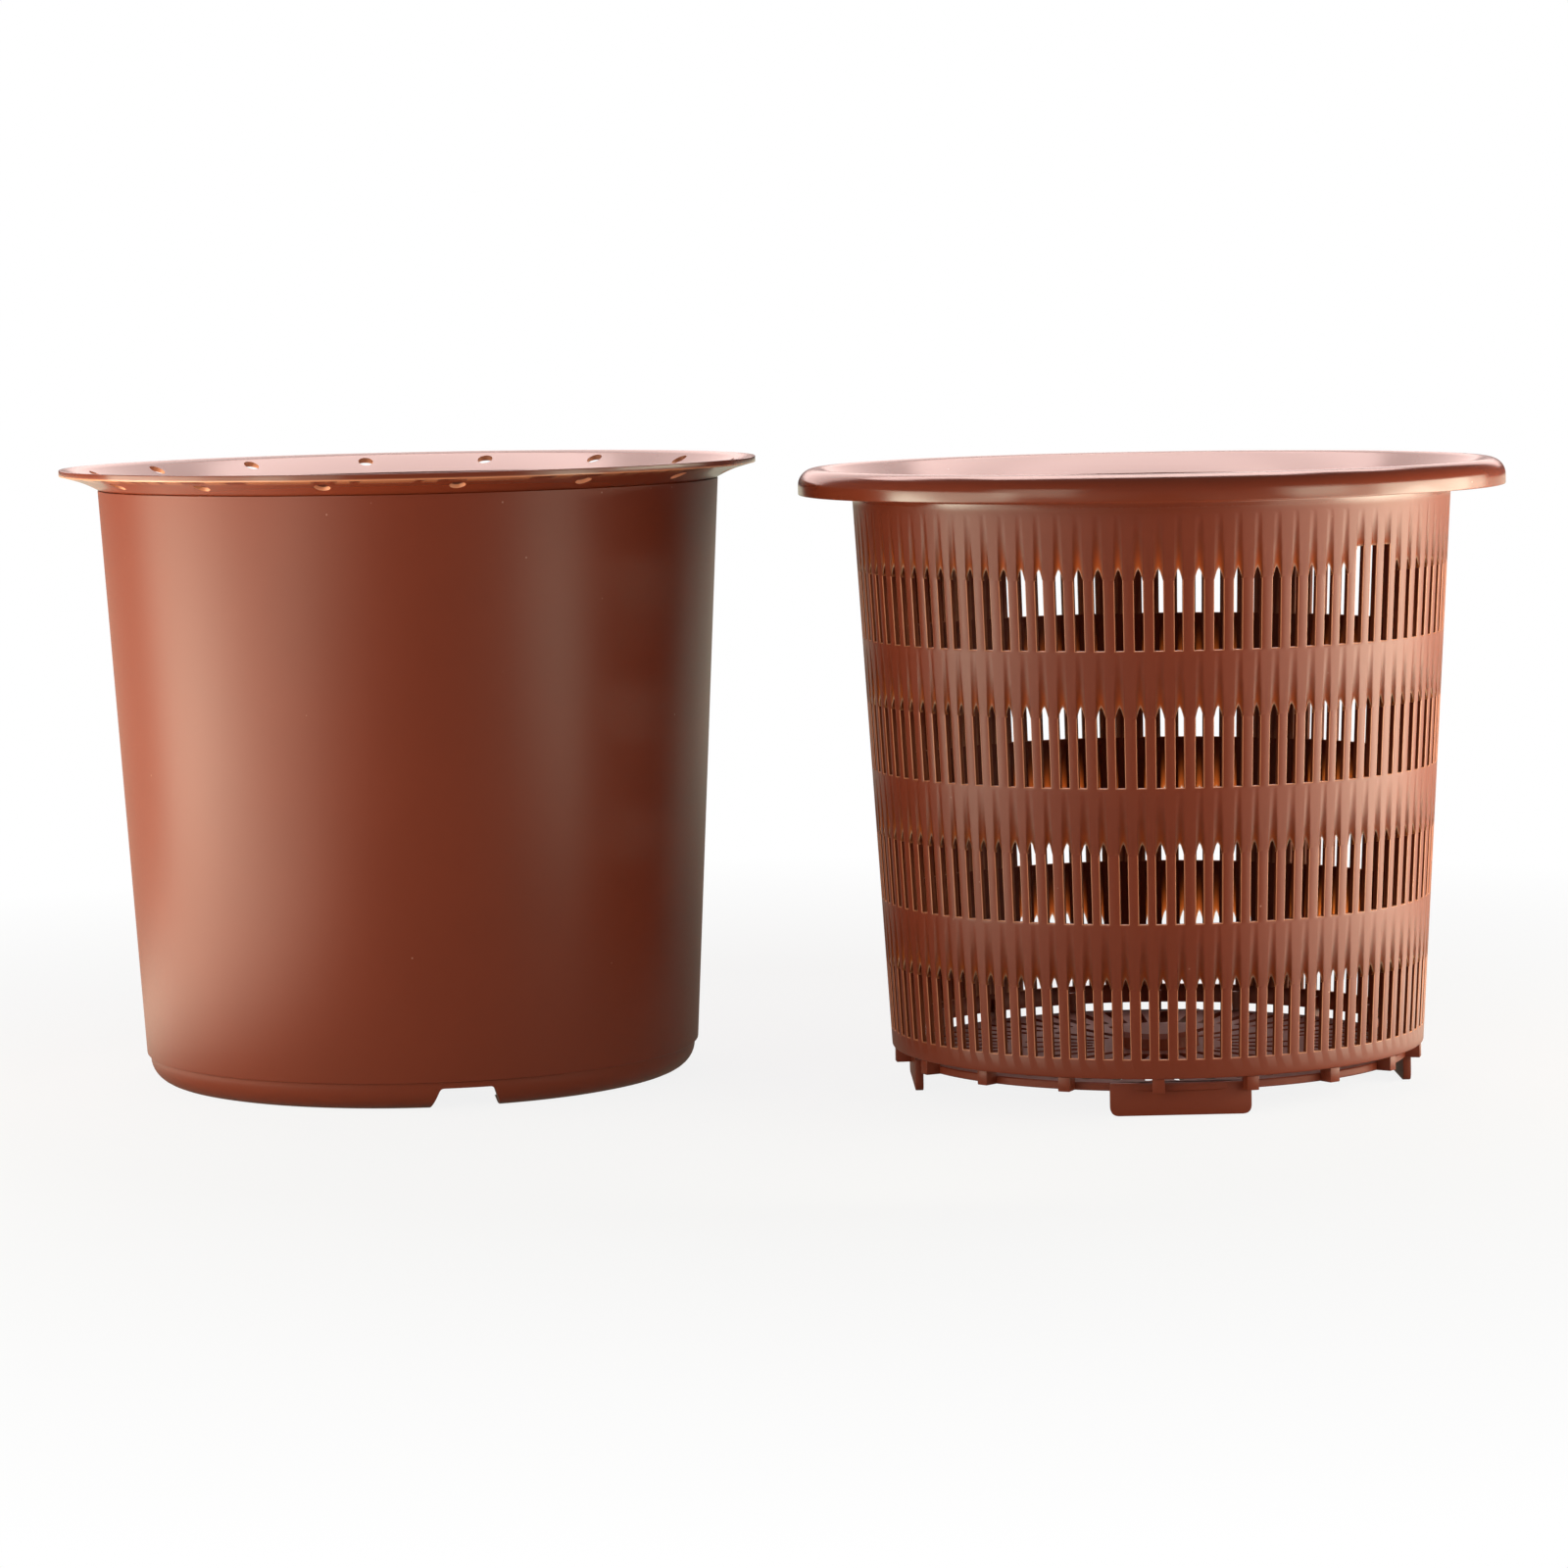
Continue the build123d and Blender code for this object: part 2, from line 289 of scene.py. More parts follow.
def arc(centre, radius, start, end, steps):
    """Points of an arc in a profile, from one angle in degrees to another."""
    angles = [radians(start + (end - start) * i / steps) for i in range(steps + 1)]
    return [(centre[0] + radius * cos(a), centre[1] + radius * sin(a)) for a in angles]


def eased(corners, steps=3):
    """A profile whose corners, given as (radius, height, rounding), are rounded off."""
    path = []
    for i, (r, z, rounding) in enumerate(corners):
        if not rounding:
            path.append((r, z))
            continue
        before = Vector(corners[i - 1][:2]) - Vector((r, z))
        after = Vector(corners[i + 1][:2]) - Vector((r, z))
        half = before.angle(after) / 2
        reach = min(rounding / tan(half), before.length * 0.49, after.length * 0.49)
        start = Vector((r, z)) + before.normalized() * reach
        end = Vector((r, z)) + after.normalized() * reach
        for k in range(steps + 1):
            t = k / steps
            bend = start * (1 - t) ** 2 + Vector((r, z)) * 2 * t * (1 - t) + end * t**2
            path.append((bend.x, bend.y))
    return path


def link_object(name, data):
    """Puts a mesh, a lamp or a camera in the scene as an object at the origin."""
    made = bpy.data.objects.new(name, data)
    bpy.context.scene.collection.objects.link(made)
    return made


def from_bmesh(name, bm):
    """Turns a bmesh into an object."""
    mesh = bpy.data.meshes.new(name)
    bm.to_mesh(mesh)
    bm.free()
    return link_object(name, mesh)


def spun(name, path, segments, polished_above=None, pale=None):
    """A profile turned about the Z axis.

    It may be polished above a height, and pale near a point given as (radius, height, distance).
    """
    bm = bmesh.new()
    polish = bm.loops.layers.float.new("polish")
    edge = bm.loops.layers.float.new("edge")
    rings = []
    for r, z in path:
        if r < 1e-6:
            rings.append([bm.verts.new((0, 0, z))] * segments)
            continue
        angles = [2 * pi * i / segments for i in range(segments)]
        rings.append([bm.verts.new((r * cos(a), r * sin(a), z)) for a in angles])
    for low, high in zip(rings, rings[1:]):
        for i in range(segments):
            j = (i + 1) % segments
            corners = dict.fromkeys((low[i], low[j], high[j], high[i]))
            for corner in bm.faces.new(list(corners)).loops:
                x, y, z = corner.vert.co
                if polished_above and z > polished_above:
                    corner[polish] = 1.0
                if pale and hypot(hypot(x, y) - pale[0], z - pale[1]) < pale[2]:
                    corner[edge] = 1.0
    return from_bmesh(name, bm)


def prism(name, outline, depth, bevel):
    """An outline in the XZ plane, drawn out to both sides of it, with its edges eased."""
    bm = bmesh.new()
    near = [bm.verts.new((x, -depth / 2, z)) for x, z in outline]
    far = [bm.verts.new((x, depth / 2, z)) for x, z in outline]
    bm.faces.new(near)
    bm.faces.new(far[::-1])
    for i in range(len(outline)):
        j = (i + 1) % len(outline)
        bm.faces.new((near[j], near[i], far[i], far[j]))
    bmesh.ops.recalc_face_normals(bm, faces=bm.faces)
    if bevel:
        bmesh.ops.bevel(
            bm, geom=bm.edges[:], offset=bevel, segments=2, profile=0.5, affect="EDGES", clamp_overlap=True
        )
    return from_bmesh(name, bm)


def new_tree(name, inputs):
    """A geometry tree with named inputs, and the sockets that they come from."""
    tree = bpy.data.node_groups.new(name, "GeometryNodeTree")
    tree.interface.new_socket("Geometry", in_out="INPUT", socket_type="NodeSocketGeometry")
    tree.interface.new_socket("Geometry", in_out="OUTPUT", socket_type="NodeSocketGeometry")
    for label, kind in inputs.items():
        tree.interface.new_socket(label, in_out="INPUT", socket_type="NodeSocket" + kind)
    return tree, node(tree, "NodeGroupInput").outputs


def ring_points(tree, given):
    """Points on the axis, one for each place round it, with the turn of each about Z."""
    points = node(tree, "GeometryNodePoints", {"Count": given["Count"]})
    index = node(tree, "GeometryNodeInputIndex")
    step = node(tree, "ShaderNodeMath", {0: 2 * pi, 1: given["Count"]}, operation="DIVIDE")
    angle = node(tree, "ShaderNodeMath", {0: index, 1: step, 2: given["Start"]}, operation="MULTIPLY_ADD")
    spin = node(tree, "ShaderNodeCombineXYZ", {"Z": angle})
    kept = node(
        tree,
        "GeometryNodeStoreNamedAttribute",
        {"Geometry": points, "Name": "place", "Value": index},
        data_type="INT",
        domain="POINT",
    )
    return kept, spin, index


def ended(tree, shape, material):
    """A geometry tree with its end added: real faces and the piece's material."""
    solid = node(tree, "GeometryNodeRealizeInstances", {"Geometry": shape})
    finished = node(tree, "GeometryNodeSetMaterial", {"Geometry": solid, "Material": material})
    node(tree, "NodeGroupOutput", {"Geometry": finished})
    return tree


def ring_of_parts_tree():
    """Repeats a part round an axis, swaps some for an odd part, and lets each slot wander a little."""
    tree, given = new_tree(
        "ring_of_parts",
        {
            "Part": "Object",
            "Odd Part": "Object",
            "Count": "Int",
            "Start": "Float",
            "Odd First": "Int",
            "Odd Count": "Int",
            "Centre": "Vector",
            "Wander": "Float",
            "Seed": "Int",
            "Weld": "Float",
            "Material": "Material",
        },
    )
    points, spin, index = ring_points(tree, given)
    past = node(tree, "ShaderNodeMath", {0: index, 1: given["Odd First"]}, operation="SUBTRACT")
    started, within = (
        node(tree, "FunctionNodeCompare", {0: past, 1: limit}, data_type="FLOAT", operation=test)
        for limit, test in ((-0.5, "GREATER_THAN"), (given["Odd Count"], "LESS_THAN"))
    )
    odd = node(tree, "FunctionNodeBooleanMath", {0: started, 1: within}, operation="AND")
    plain = node(tree, "FunctionNodeBooleanMath", {0: odd}, operation="NOT")
    joined = node(tree, "GeometryNodeJoinGeometry")
    for label, chosen in (("Part", plain), ("Odd Part", odd)):
        part = node(tree, "GeometryNodeObjectInfo", {"Object": given[label]}).outputs["Geometry"]
        put = node(
            tree,
            "GeometryNodeInstanceOnPoints",
            {"Points": points, "Selection": chosen, "Instance": part, "Rotation": spin},
        )
        tree.links.new(put.outputs[0], joined.inputs[0])
    real = node(tree, "GeometryNodeRealizeInstances", {"Geometry": joined})

    # Each slot has its own width and place, drawn from its number and its row
    at = {
        name: node(tree, "GeometryNodeInputNamedAttribute", {"Name": name}, data_type=kind)
        for name, kind in (("place", "INT"), ("row", "INT"), ("spread", "FLOAT"), ("slot", "FLOAT"))
    }
    slot_id = node(
        tree, "ShaderNodeMath", {0: at["place"], 1: ROW_STEP, 2: at["row"]}, operation="MULTIPLY_ADD"
    )
    second = node(tree, "ShaderNodeMath", {0: given["Seed"], 1: SECOND_SEED}, operation="ADD")
    draws = []
    for seed in (given["Seed"], second):
        limits = {2: -1.0, 3: 1.0, "ID": slot_id, "Seed": seed}
        draws.append(node(tree, "FunctionNodeRandomValue", limits, data_type="FLOAT"))
    wider = node(tree, "ShaderNodeMath", {0: at["spread"], 1: draws[0]}, operation="MULTIPLY")
    moved = node(tree, "ShaderNodeMath", {0: at["slot"], 1: draws[1], 2: wider}, operation="MULTIPLY_ADD")
    amount = node(tree, "ShaderNodeMath", {0: moved, 1: given["Wander"]}, operation="MULTIPLY")
    spot = node(tree, "GeometryNodeInputPosition")
    across = node(tree, "ShaderNodeVectorMath", {0: (0.0, 0.0, 1.0), 1: spot}, operation="CROSS_PRODUCT")
    across = node(tree, "ShaderNodeVectorMath", {0: across}, operation="NORMALIZE")
    shift = node(tree, "ShaderNodeVectorMath", {0: across, "Scale": amount}, operation="SCALE")
    loose = node(tree, "GeometryNodeSetPosition", {"Geometry": real, "Offset": shift})

    welded = node(tree, "GeometryNodeMergeByDistance", {"Geometry": loose, "Distance": given["Weld"]})
    stood = node(tree, "GeometryNodeTransform", {"Geometry": welded, "Translation": given["Centre"]})
    return ended(tree, stood, given["Material"])


def ring_of_cuts_tree():
    """Cuts a shape out of a piece at even steps round an axis."""
    tree, given = new_tree(
        "ring_of_cuts",
        {"Cutter": "Object", "Count": "Int", "Start": "Float", "Centre": "Vector", "Material": "Material"},
    )
    points, spin, _ = ring_points(tree, given)
    cutter = node(tree, "GeometryNodeObjectInfo", {"Object": given["Cutter"]}).outputs["Geometry"]
    put = node(
        tree, "GeometryNodeInstanceOnPoints", {"Points": points, "Instance": cutter, "Rotation": spin}
    )
    real = node(tree, "GeometryNodeRealizeInstances", {"Geometry": put})
    stood = node(tree, "GeometryNodeTransform", {"Geometry": real, "Translation": given["Centre"]})
    meshes = {"Mesh 1": given["Geometry"], "Mesh 2": stood}
    cut = node(tree, "GeometryNodeMeshBoolean", meshes, operation="DIFFERENCE", solver="EXACT")
    return ended(tree, cut, given["Material"])


def tree_named(name, maker):
    """A geometry tree, made the first time it is asked for."""
    return bpy.data.node_groups.get(name) or maker()


def add_tree(piece, tree, values):
    """Adds a geometry tree to a piece and sets its inputs by their identifiers."""
    modifier = piece.modifiers.new(tree.name, "NODES")
    modifier.node_group = tree
    for item in tree.interface.items_tree:
        if item.in_out == "INPUT" and item.name in values:
            modifier[item.identifier] = values[item.name]


def made_plain(piece, helpers, crease):
    """Turns the result of a piece's modifiers into its own mesh, and removes the helper shapes."""
    bpy.context.view_layer.update()
    done = piece.evaluated_get(bpy.context.evaluated_depsgraph_get())
    mesh = bpy.data.meshes.new_from_object(done)
    piece.modifiers.clear()
    piece.data = mesh
    mesh.name = piece.name
    for helper in helpers:
        bpy.data.objects.remove(helper)
    if not mesh.polygons:
        raise RuntimeError(f"{piece.name} came out empty")
    mesh.polygons.foreach_set("use_smooth", [True] * len(mesh.polygons))
    mesh.set_sharp_from_angle(angle=crease)


def ring_of(name, part, number, start, centre, material, crease, **extra):
    """A piece made of a part repeated round an axis."""
    piece = link_object(name, bpy.data.meshes.new(name))
    values = {
        "Part": part,
        "Count": number,
        "Start": start,
        "Odd Count": 0,
        "Centre": centre,
        "Weld": WELD,
        "Material": material,
        **extra,
    }
    add_tree(piece, tree_named("ring_of_parts", ring_of_parts_tree), values)
    made_plain(piece, [shape for shape in (part, extra.get("Odd Part")) if shape], crease)
    return piece


def hand_over(piece, body, cad_node):
    """Sets a finished piece on its body, in place of its solid."""
    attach(piece, body)
    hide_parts(cad_node)


def moulded_polypropylene(look):
    """Reddish brown polypropylene, injection moulded.

    To the eye: satin walls, polished rims, a dull inside darkened with painted shade, pale edges partly
    painted with light, and light coming through thin tips.
    """
    name = "moulded_polypropylene"
    found = bpy.data.materials.get(name)
    if found:
        return found
    material = bpy.data.materials.new(name)
    tree = cleared(material)
    where = node(tree, "ShaderNodeTexCoord").outputs["Object"]
    marks = {
        mark: node(tree, "ShaderNodeAttribute", attribute_name=mark).outputs["Fac"]
        for mark in ("inside", "edge", "polish", "thin")
    }

    # Faint clouds where the colour was not mixed evenly, about 30 mm across
    clouds = node(tree, "ShaderNodeTexNoise", {"Vector": where, "Scale": 1 / (30 * MM), "Detail": 3.0})
    brown = node(
        tree, "ShaderNodeMix", {"Factor": clouds, "A": look.body, "B": look.shade}, data_type="RGBA"
    )

    # Dust: a few pale specks about 0.4 mm across in cells of 6 mm
    cells = node(tree, "ShaderNodeTexVoronoi", {"Vector": where, "Scale": 1 / (6 * MM)}, feature="F1")
    speck = node(
        tree,
        "ShaderNodeMapRange",
        {"Value": cells, "From Min": 0.02, "From Max": 0.05, "To Min": 1.0, "To Max": 0.0},
    )
    pick = node(tree, "ShaderNodeSeparateColor", {"Color": cells.outputs["Color"]})
    seldom = node(tree, "ShaderNodeMath", {0: pick, 1: look.clean}, operation="GREATER_THAN")
    dusty = node(tree, "ShaderNodeMath", {0: speck, 1: seldom}, operation="MULTIPLY")
    soft = node(tree, "ShaderNodeMath", {0: dusty, 1: look.dusting}, operation="MULTIPLY")

    # The basket's inner face and the slots' upright sides keep less gloss and are darkened with painted
    # shade; the pale line along the edges is partly whitened plastic at a sharp edge, partly painted light
    # through the thin edge
    painted_inside_shade = node(tree, "ShaderNodeMath", {0: marks["inside"], 1: look.inside_shade_share}, operation="MULTIPLY")
    pale_and_lit = node(tree, "ShaderNodeMath", {0: marks["edge"], 1: look.paleness}, operation="MULTIPLY")
    colour = brown
    for amount, layer in ((soft, look.dust), (painted_inside_shade, look.inside), (pale_and_lit, look.edge)):
        colour = node(tree, "ShaderNodeMix", {"Factor": amount, "A": colour, "B": layer}, data_type="RGBA")

    # The rim's tool is polished; the walls carry a fine satin grain, drawn at 0.8 mm so that it shows
    grain = node(tree, "ShaderNodeTexNoise", {"Vector": where, "Scale": 1 / (0.8 * MM), "Detail": 2.0})
    ranges = (
        ("polish", look.satin, look.polish),
        ("polish", look.wall_gloss, look.rim_gloss),
        ("inside", 1.0, look.inside_gloss),
    )
    base_rough, gloss, dull = (
        node(tree, "ShaderNodeMapRange", {"Value": marks[mark], "To Min": plain, "To Max": marked})
        for mark, plain, marked in ranges
    )
    rough = node(tree, "ShaderNodeMath", {0: grain, 1: look.grain, 2: base_rough}, operation="MULTIPLY_ADD")
    gloss = node(tree, "ShaderNodeMath", {0: gloss, 1: dull}, operation="MULTIPLY")
    bump = node(tree, "ShaderNodeBump", {"Height": grain, "Strength": 0.05, "Distance": 0.02 * MM})
    surface = {"Base Color": colour, "Roughness": rough, "Specular IOR Level": gloss, "Normal": bump}
    shell = node(tree, "ShaderNodeBsdfPrincipled", {**surface, "IOR": POLYPROPYLENE_IOR})

    # Light through the wall over each arch: orange where it is thin, near white where it runs out
    bent = node(tree, "ShaderNodeMath", {0: marks["thin"], 1: 1.5}, operation="POWER")
    through = node(tree, "ShaderNodeMath", {0: bent, 1: look.passing}, operation="MULTIPLY")
    last = node(
        tree,
        "ShaderNodeMapRange",
        {"Value": marks["thin"], "From Min": 0.92, "From Max": 1.0},
        interpolation_type="SMOOTHSTEP",
    )
    shine = node(tree, "ShaderNodeMix", {"Factor": last, "A": look.glow, "B": look.tip}, data_type="RGBA")
    lit = node(tree, "ShaderNodeBsdfTranslucent", {"Color": shine})
    mixed = node(tree, "ShaderNodeMixShader", {0: through, 1: shell, 2: lit})
    node(tree, "ShaderNodeOutputMaterial", {"Surface": mixed})
    return material


class ORCHID_OT_outer_pot(bpy.types.Operator):
    """Build the smooth outer pot with its flared rim, rim holes, drain notches and drain holes"""

    bl_idname = "orchid.outer_pot"
    bl_label = "Outer Pot"

    def execute(self, context):
        size = context.scene.orchid_outer_pot
        plastic = moulded_polypropylene(context.scene.orchid_plastic)
        foot = size.base_radius - size.foot_step
        land = foot - size.foot_round
        wall_top = size.height - size.rim_rise
        slope = (size.top_radius - size.base_radius) / (wall_top - size.foot_height)
        floor_top = size.foot_height + size.wall

        def inside(height):
            return size.base_radius - size.wall + slope * (height - size.foot_height)

        under_foot = arc((land, size.foot_round), size.foot_round - size.wall, 0, -90, 6)
        outer_foot = arc((land, size.foot_round), size.foot_round, -90, 0, 10)
        edge = size.height - size.rim_edge
        lip = (size.rim_radius - size.lip, size.height - 0.25 * size.lip)
        flare_foot = lip[1] - (lip[0] - inside(wall_top)) * tan(size.flare)
        under_rim = eased(
            [
                (size.rim_radius - 0.3 * MM, edge, 0),
                (size.rim_radius - 5.9 * MM, edge - 1.6 * MM, 40 * MM),
                (size.top_radius - size.shoulder, wall_top, 0),
            ],
            12,
        )
        rim_top = (size.rim_radius - 0.5 * MM, size.height, 0)
        over_rim = eased([rim_top, (*lip, 8 * MM), (inside(flare_foot), flare_foot, 0)], 8)
        # The floor has a ring on either side of the drain holes, so that each is cut from small faces
        floor_rings = [size.drain_circle - 2 * size.drain_radius, size.drain_circle + 2 * size.drain_radius]
        path = [(r, size.foot_height) for r in (0, *floor_rings, foot - size.wall - 0.4 * MM)]
        path += under_foot
        path += eased(
            [
                (*under_foot[-1], 0),
                (land - size.foot_land, size.wall, EASE),
                (land - size.foot_land, 0, EASE),
                (*outer_foot[0], 0),
            ]
        )[1:-1]
        path += outer_foot
        path += eased(
            [
                (*outer_foot[-1], 0),
                (foot, size.foot_height, 0.2 * MM),
                (size.base_radius, size.foot_height, 0.35 * MM),
                (size.top_radius, wall_top, 0.18 * MM),
                (*under_rim[-1], 0),
            ]
        )[1:]
        path += under_rim[-2::-1]
        half_edge = (size.rim_radius, edge + 0.5 * MM, 0)
        path += eased([(*under_rim[0], 0), (size.rim_radius, edge, 0.25 * MM), half_edge], 4)[1:]
        path += eased([half_edge, (size.rim_radius, size.height, 0.45 * MM), (*over_rim[0], 0)], 4)[1:]
        path += over_rim[1:-1]
        path += eased(
            [
                (*over_rim[-2], 0),
                (*over_rim[-1], 1.0 * MM),
                (inside(floor_top), floor_top, 3.0 * MM),
                *[(r, floor_top, 0) for r in (*floor_rings[::-1], 0)],
            ],
            6,
        )[1:]
        pale_edge = (size.rim_radius, edge, 0.3 * MM)
        pot = spun("outer_pot_shell", path, size.segments, wall_top - 0.1 * MM, pale_edge)
        pot.data.materials.append(plastic)
        pot.data.transform(Matrix.Translation(size.centre))

        def round_cutter(name, radius, low, high, place, pale=None):
            """A round cutter, its corners turned off the pot's own lines, which keeps the cuts clean."""
            made = spun(name, [(0, low), (radius, low), (radius, high), (0, high)], CUTTER_SIDES, pale=pale)
            made.data.transform(Matrix.Translation(place) @ Matrix.Rotation(pi / CUTTER_SIDES, 4, "Z"))
            return made

        rise = size.rim_rise
        over_hole = (size.hole_circle, 0, size.height)
        hole = round_cutter("rim_hole", size.hole_radius, -rise, rise, over_hole, pale=(0, 0, 4 * rise))
        drain = round_cutter("drain", size.drain_radius, 0, 2 * floor_top, (size.drain_circle, 0, 0))
        half = size.notch_width / 2
        outline = eased(
            [
                (-half, -UNDER_GROUND, 0),
                (half, -UNDER_GROUND, 0),
                (half, 0, 0),
                (half - size.notch_slope, size.notch_height, size.notch_round),
                (size.notch_slope - half, size.notch_height, size.notch_round),
                (-half, 0, 0),
            ],
            6,
        )
        notch = prism("notch", outline, foot, 0)
        across_foot = Matrix.Translation((0.75 * foot, 0, 0)) @ Matrix.Rotation(pi / 2, 4, "Z")
        notch.data.transform(across_foot)
        cuts = (
            (hole, size.hole_count, size.hole_start),
            (drain, size.drain_count, 0.0),
            (notch, size.notch_count, size.notch_start),
        )
        shared = {"Centre": size.centre, "Material": plastic}
        for cutter, number, start in cuts:
            values = {"Cutter": cutter, "Count": number, "Start": start, **shared}
            add_tree(pot, tree_named("ring_of_cuts", ring_of_cuts_tree), values)
        made_plain(pot, [hole, drain, notch], POT_CREASE)
        hand_over(pot, "pot", "outer_pot")
        return {"FINISHED"}


# Columns of one slice of the basket's wall, as shares of half a slot's width; its ends lie between slots
BAR_EDGE = None
OUTER = (BAR_EDGE, -1.22, -1.03, -0.95, -0.72, -0.36, 0.0, 0.36, 0.72, 0.95, 1.03, 1.22, BAR_EDGE)
INNER = (BAR_EDGE, -1.0, -0.95, -0.72, -0.36, 0.0, 0.36, 0.72, 0.95, 1.0, BAR_EDGE)
ARCH_POWER = 1.6
ARCH_ROWS = (2.2 * MM, 6.5 * MM)  # rows of points over a slot's tip
OUTER_BAND = 0.45 * MM  # first row over the arch, on the outer face
INNER_BAND = 0.6 * MM  # and on the inner face
HOLLOW_BEND = 0.9  # how soon the hollow over an arch runs out to its sides
BAR_GLOW = 0.35  # share of an arch's glow that reaches the bars beside it
SILL_GLOW = 0.3
EDGE_DEPTH = 0.3  # share of an edge's rounding that its outer line is sunk


class WallSlice:
    """One slice of the basket's wall on +X, from the middle of one bar to the middle of the next."""

    def __init__(self, size, square_top):
        self.size = size
        self.square_top = square_top
        self.half = pi / size.slots
        self.slope = tan(size.draft)
        self.bm = bmesh.new()
        names = ("thin", "edge", "polish", "inside", "spread", "slot")
        self.marks = {name: self.bm.verts.layers.float.new(name) for name in names}
        self.row = self.bm.verts.layers.int.new("row")

    def outside(self, height):
        """Radius of the wall's outer face."""
        return self.size.base_radius + self.slope * height

    def point(self, radius, angle, height, row=0, **marks):
        """A point of the slice, with the marks that the material and the wander read."""
        made = self.bm.verts.new((radius * cos(angle), radius * sin(angle), height))
        made[self.row] = row
        for name, value in marks.items():
            made[self.marks[name]] = value
        return made

    def on_wall(self, shares, column, height, depth, row, thin=0.0, edge=0.0, inside=0.0):
        """A point of the wall by its column, its height and its depth under the outer face."""
        share = shares[column]
        radius = self.outside(height) - depth
        # The whole inner face takes the inside mark: painted shade and less gloss
        inside = 1.0 if shares is INNER else inside
        if share is BAR_EDGE:
            return self.point(radius, -self.half if column == 0 else self.half, height, row, inside=inside)
        angle = share * self.size.slot_width / 2 / self.outside(height)
        spread = max(-1.0, min(1.0, share))
        marks = {"thin": thin, "edge": edge, "inside": inside, "spread": spread, "slot": 1.0}
        return self.point(radius, angle, height, row, **marks)

    def ring(self, radius, height, polish):
        """A plain row of three points."""
        return [self.point(radius, self.half * k, height, polish=polish) for k in (-1, 0, 1)]

    def strip(self, low, high):
        """Faces between two rows of equal length."""
        for i in range(len(low) - 1):
            self.bm.faces.new((low[i], low[i + 1], high[i + 1], high[i]))

    def strips(self, rows):
        """Faces between each row and the next."""
        for low, high in zip(rows, rows[1:]):
            self.strip(low, high)

    def fan(self, few, many, many_on_top):
        """Faces between a plain row and a row with more points."""
        step = (len(many) - 1) // (len(few) - 1)
        for i in range(len(few) - 1):
            run = many[i * step : i * step + step + 1]
            if many_on_top:
                self.bm.faces.new([few[i], few[i + 1], *run[::-1]])
            else:
                self.bm.faces.new([*run, few[i + 1], few[i]])

    def slot_row(self, row):
        """One row: its slot, the thin wall over the slot's arch, and the groove behind it.

        The groove is cut from the inside. It breaks through the outer face at the arch, and the wall over
        the arch grows thicker upwards. Returns the lowest and highest rows of the outer and inner faces.
        """
        size = self.size
        bottom = size.first_slot + row * size.row_pitch
        top = bottom + size.row_pitch - size.land
        tip = bottom + size.slot_height
        round_off = size.slot_edge
        square = self.square_top and row == size.rows - 1
        crown = tip + size.tall_extra if square else tip
        bar_spring = tip - size.arch_rise * abs(OUTER[3]) ** ARCH_POWER
        sides = (0, 1, 2, 10, 11, 12)

        def arch(share):
            return crown if square else tip - size.arch_rise * abs(share) ** ARCH_POWER

        def in_groove(share):
            return share is not BAR_EDGE and abs(share) < 1

        def hollow(height, share):
            if not in_groove(share):
                return 0.0
            fade = min(1.0, (top - height) / (top - crown))
            return size.hollow * max(0.0, fade - HOLLOW_BEND * share**2)

        def glow(height, share):
            if share is BAR_EDGE:
                return 0.0
            fade = max(0.0, 1 - max(0.0, height - arch(share)) / (top - crown))
            return fade if abs(share) < 1 else BAR_GLOW * fade

        def back(height, share):
            """Depth of the inner face under the outer one."""
            if not in_groove(share):
                return size.wall
            over = max(0.0, height - arch(share))
            return min(size.wall, hollow(height, share) + size.tip_edge + size.thicken * over)

        def outer_row(height_of):
            made = []
            for c, share in enumerate(OUTER):
                height = height_of(share)
                made.append(self.on_wall(OUTER, c, height, hollow(height, share), row, glow(height, share)))
            return made

        def inner_row(height_of):
            made = []
            for c, share in enumerate(INNER):
                height = height_of(share)
                lit = glow(height, share) if in_groove(share) else 0.0
                made.append(self.on_wall(INNER, c, height, back(height, share), row, lit))
            return made

        spring = arch(OUTER[3])

        def beside(share):
            return bar_spring if share is BAR_EDGE else spring

        def over_arch(rise):
            return lambda share: (arch(share) if in_groove(share) else beside(share)) + rise

        def over_crown(rise):
            return lambda share: (tip if share is BAR_EDGE else crown) + rise

        def level(height):
            return lambda share: height

        levels = [over_crown(rise) for rise in ARCH_ROWS]

        # Outer face: under the slot, round its edge, and over its arch
        below = [self.on_wall(OUTER, c, bottom - round_off, 0.0, row) for c in range(len(OUTER))]
        sill, jambs = [], {}
        for c in range(len(OUTER)):
            on_edge = 2 <= c <= 10
            depth, edge = (EDGE_DEPTH * round_off, 1.0) if on_edge else (0.0, 0.0)
            sill.append(self.on_wall(OUTER, c, bottom - depth, depth, row, edge=edge))
            if c in sides:
                jambs[c] = self.on_wall(OUTER, c, beside(OUTER[c]), depth, row, edge=edge)
        hole_low, hole_high = {}, {}
        for c in range(3, 10):
            share = OUTER[c]
